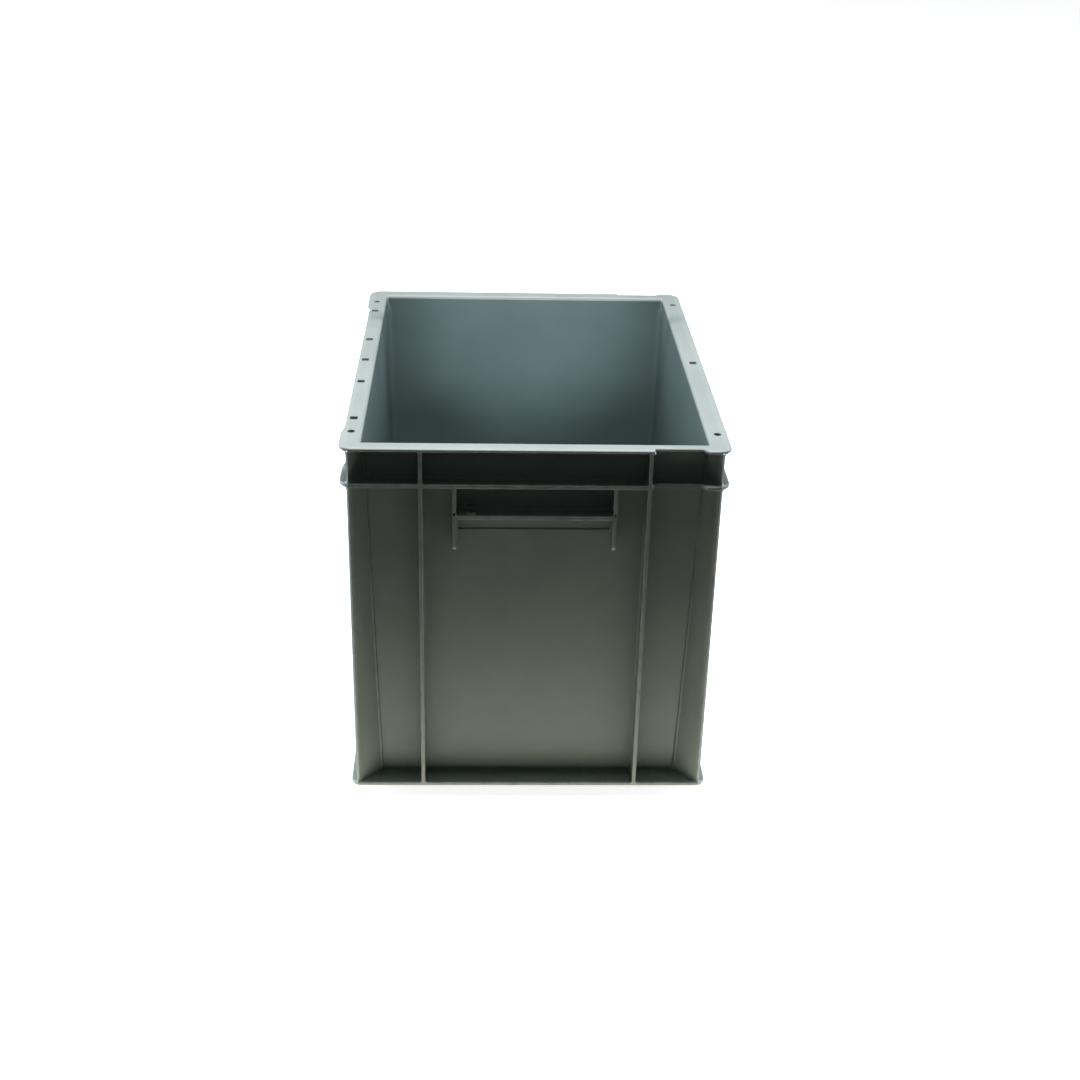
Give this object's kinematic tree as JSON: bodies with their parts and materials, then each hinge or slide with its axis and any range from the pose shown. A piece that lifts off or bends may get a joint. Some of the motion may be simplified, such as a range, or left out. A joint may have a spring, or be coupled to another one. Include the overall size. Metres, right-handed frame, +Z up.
{
  "type": "stacking storage crate",
  "caption": "Rigid open-topped stacking crate: drafted tub, flanged rim with lid slots, band and base flange, ribs, corner fins and a ledge handle at each short end.",
  "frame": {"origin": "on the ground, under the middle of the crate", "axes": "+Z up, +Y along the 400 mm length, +X along the 300 mm width; lid hinge slots on the -X rim"},
  "size_m": [0.3, 0.4, 0.315],
  "materials": {
    "grey_polypropylene": "injection-moulded grey polypropylene, satin, fine even texture"
  },
  "bodies": {
    "root": {"band_back": "grey_polypropylene", "band_front": "grey_polypropylene", "band_left": "grey_polypropylene", "band_right": "grey_polypropylene", "base_flange_back": "grey_polypropylene", "base_flange_front": "grey_polypropylene", "base_flange_left": "grey_polypropylene", "base_flange_right": "grey_polypropylene", "base_ribs_crosswise": "grey_polypropylene", "base_ribs_lengthwise": "grey_polypropylene", "floor_panel": "grey_polypropylene", "foot_back": "grey_polypropylene", "foot_front": "grey_polypropylene", "foot_left": "grey_polypropylene", "foot_right": "grey_polypropylene", "handle_ledge_back": "grey_polypropylene", "handle_ledge_front": "grey_polypropylene", "handle_rib_back_left": "grey_polypropylene", "handle_rib_back_right": "grey_polypropylene", "handle_rib_front_left": "grey_polypropylene", "handle_rib_front_right": "grey_polypropylene", "lower_fin_back_left": "grey_polypropylene", "lower_fin_back_right": "grey_polypropylene", "lower_fin_front_left": "grey_polypropylene", "lower_fin_front_right": "grey_polypropylene", "lower_rib_back_left": "grey_polypropylene", "lower_rib_back_right": "grey_polypropylene", "lower_rib_front_left": "grey_polypropylene", "lower_rib_front_right": "grey_polypropylene", "lower_rib_left_back": "grey_polypropylene", "lower_rib_left_front": "grey_polypropylene", "lower_rib_right_back": "grey_polypropylene", "lower_rib_right_front": "grey_polypropylene", "rim_back": "grey_polypropylene", "rim_front": "grey_polypropylene", "rim_left": "grey_polypropylene", "rim_right": "grey_polypropylene", "tub_corner_back_left": "grey_polypropylene", "tub_corner_back_right": "grey_polypropylene", "tub_corner_front_left": "grey_polypropylene", "tub_corner_front_right": "grey_polypropylene", "upper_fin_back_left": "grey_polypropylene", "upper_fin_back_right": "grey_polypropylene", "upper_fin_front_left": "grey_polypropylene", "upper_fin_front_right": "grey_polypropylene", "upper_rib_back_left": "grey_polypropylene", "upper_rib_back_right": "grey_polypropylene", "upper_rib_front_left": "grey_polypropylene", "upper_rib_front_right": "grey_polypropylene", "upper_rib_left_back": "grey_polypropylene", "upper_rib_left_front": "grey_polypropylene", "upper_rib_right_back": "grey_polypropylene", "upper_rib_right_front": "grey_polypropylene", "wall_back": "grey_polypropylene", "wall_front": "grey_polypropylene", "wall_left": "grey_polypropylene", "wall_right": "grey_polypropylene"}
  },
  "joints": []
}
